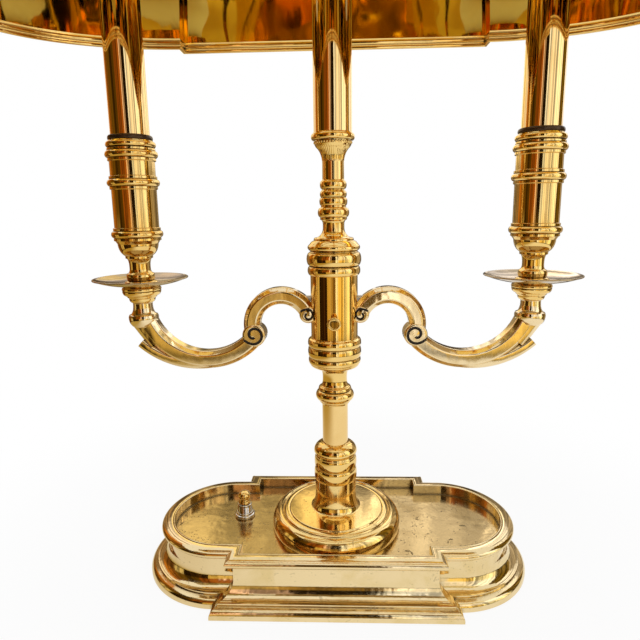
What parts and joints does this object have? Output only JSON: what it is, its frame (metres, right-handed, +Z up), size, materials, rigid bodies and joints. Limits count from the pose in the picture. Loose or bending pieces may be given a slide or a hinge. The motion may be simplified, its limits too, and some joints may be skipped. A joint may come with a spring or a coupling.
{
  "type": "bouillotte lamp",
  "caption": "Table lamp with an oblong plinth, a turned column, two scrolled candle arms and an oblong metal shade that slides and turns on a rod.",
  "frame": {"origin": "centre of the face the lamp stands on, on the column's axis", "axes": "+Z up along the column, +X to the right along the arms, +Y towards the back, so the thumb screw faces -Y"},
  "size_m": [0.4976, 0.198, 0.557],
  "materials": {
    "polished_brass": "polished cast and turned brass",
    "cast_brass": "polished cast brass, paler",
    "brass_tube": "polished drawn brass tube",
    "shade_brass": "polished sheet brass",
    "darkened_brass": "blackened brass",
    "nickel": "worn nickel plate",
    "plated_steel": "plated steel",
    "cast_iron": "rough cast iron",
    "green_felt": "pressed felt",
    "black_bakelite": "moulded",
    "cream_porcelain": "glazed",
    "frosted_glass": "frosted"
  },
  "bodies": {
    "base": {"plinth": "cast_brass", "bottom_cover": "plated_steel", "felt_pad": "green_felt", "cover_screws": "plated_steel", "iron_weight": "cast_iron", "cord_bush": "black_bakelite", "switch_case": "black_bakelite", "switch_neck": "nickel", "switch_ring_nut": "nickel", "column_foot": "polished_brass", "foot_collar": "polished_brass", "stem_tube": "polished_brass", "stem_vase": "polished_brass", "threaded_pipe": "plated_steel", "pipe_nuts": "plated_steel"},
    "switch knob": {"switch_knob": "polished_brass"},
    "hub and arms": {"hub_lower_boss": "polished_brass", "hub_sleeve": "polished_brass", "hub_upper_boss": "polished_brass", "baluster": "polished_brass", "upper_pipe": "plated_steel", "flared_cup": "polished_brass", "column_tube": "brass_tube", "column_cap": "polished_brass", "arm_left": "polished_brass", "arm_right": "polished_brass", "arm_screws": "plated_steel", "pan_support_left": "polished_brass", "pan_support_right": "polished_brass", "drip_pan_left": "polished_brass", "drip_pan_right": "polished_brass", "candle_cup_left": "polished_brass", "candle_cup_right": "polished_brass", "dark_ring_left": "darkened_brass", "dark_ring_right": "darkened_brass", "candle_tube_left": "brass_tube", "candle_tube_right": "brass_tube", "candle_pipe_left": "plated_steel", "candle_pipe_right": "plated_steel", "lamp_holder_left": "cream_porcelain", "lamp_holder_right": "cream_porcelain", "bulb_left": "frosted_glass", "bulb_right": "frosted_glass"},
    "thumb screw": {"thumb_screw": "polished_brass"},
    "cap screw": {"cap_screw": "polished_brass"},
    "shade rod": {"shade_rod": "nickel"},
    "shade": {"shade_spider": "polished_brass", "shade_shell": "shade_brass", "shade_rivets": "polished_brass"},
    "finial": {"finial": "polished_brass"}
  },
  "joints": [
    {"name": "knob_turn", "type": "hinge", "parent": "base", "child": "switch knob", "pos_m": [-0.071, 0.008, 0.045], "axis": [0, 0, 1], "continuous": true},
    {"name": "hub_swivel", "type": "hinge", "parent": "base", "child": "hub and arms", "pos_m": [0, 0, 0.18], "axis": [0, 0, 1], "range_deg": [-90, 90]},
    {"name": "thumb_screw_turn", "type": "hinge", "parent": "hub and arms", "child": "thumb screw", "pos_m": [0, -0.02, 0.1881], "axis": [0, -1, 0], "range_deg": [0, 360]},
    {"name": "cap_screw_turn", "type": "hinge", "parent": "hub and arms", "child": "cap screw", "pos_m": [0, -0.01, 0.4522], "axis": [0, -1, 0], "range_deg": [0, 360]},
    {"name": "rod_slide", "type": "slide", "parent": "hub and arms", "child": "shade rod", "axis": [0, 0, 1], "range_m": [-0.018, 0.03]},
    {"name": "shade_swivel", "type": "hinge", "parent": "shade rod", "child": "shade", "pos_m": [0, 0, 0.517], "axis": [0, 0, 1], "range_deg": [-20, 20]},
    {"name": "finial_turn", "type": "hinge", "parent": "shade rod", "child": "finial", "pos_m": [0, 0, 0.53], "axis": [0, 0, 1], "continuous": true}
  ]
}
